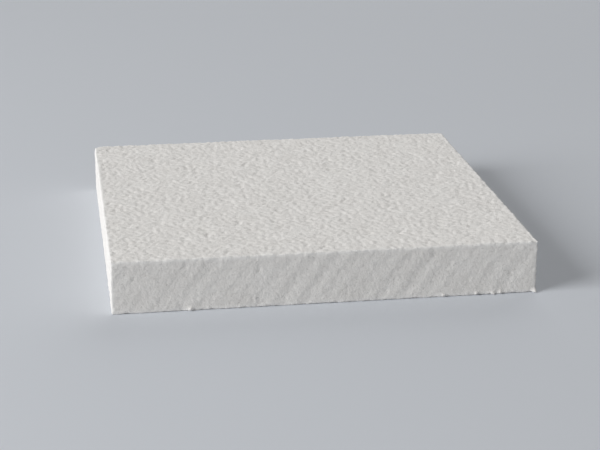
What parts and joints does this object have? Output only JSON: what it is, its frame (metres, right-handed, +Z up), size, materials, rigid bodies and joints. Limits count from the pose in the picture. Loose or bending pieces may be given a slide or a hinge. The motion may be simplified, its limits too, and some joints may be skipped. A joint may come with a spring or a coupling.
{
  "type": "ceramic fiber board",
  "caption": "Rigid square slab of white vacuum-formed ceramic fiber for furnace and kiln insulation, with pebbled broad faces and saw-marked edges.",
  "frame": {"origin": "middle of the underside", "axes": "+X along the length, +Y along the width, +Z up through the thickness"},
  "size_m": [0.2, 0.198, 0.0254],
  "materials": {
    "board": "matt, fibrous"
  },
  "bodies": {
    "root": {"board": "board"}
  },
  "joints": []
}
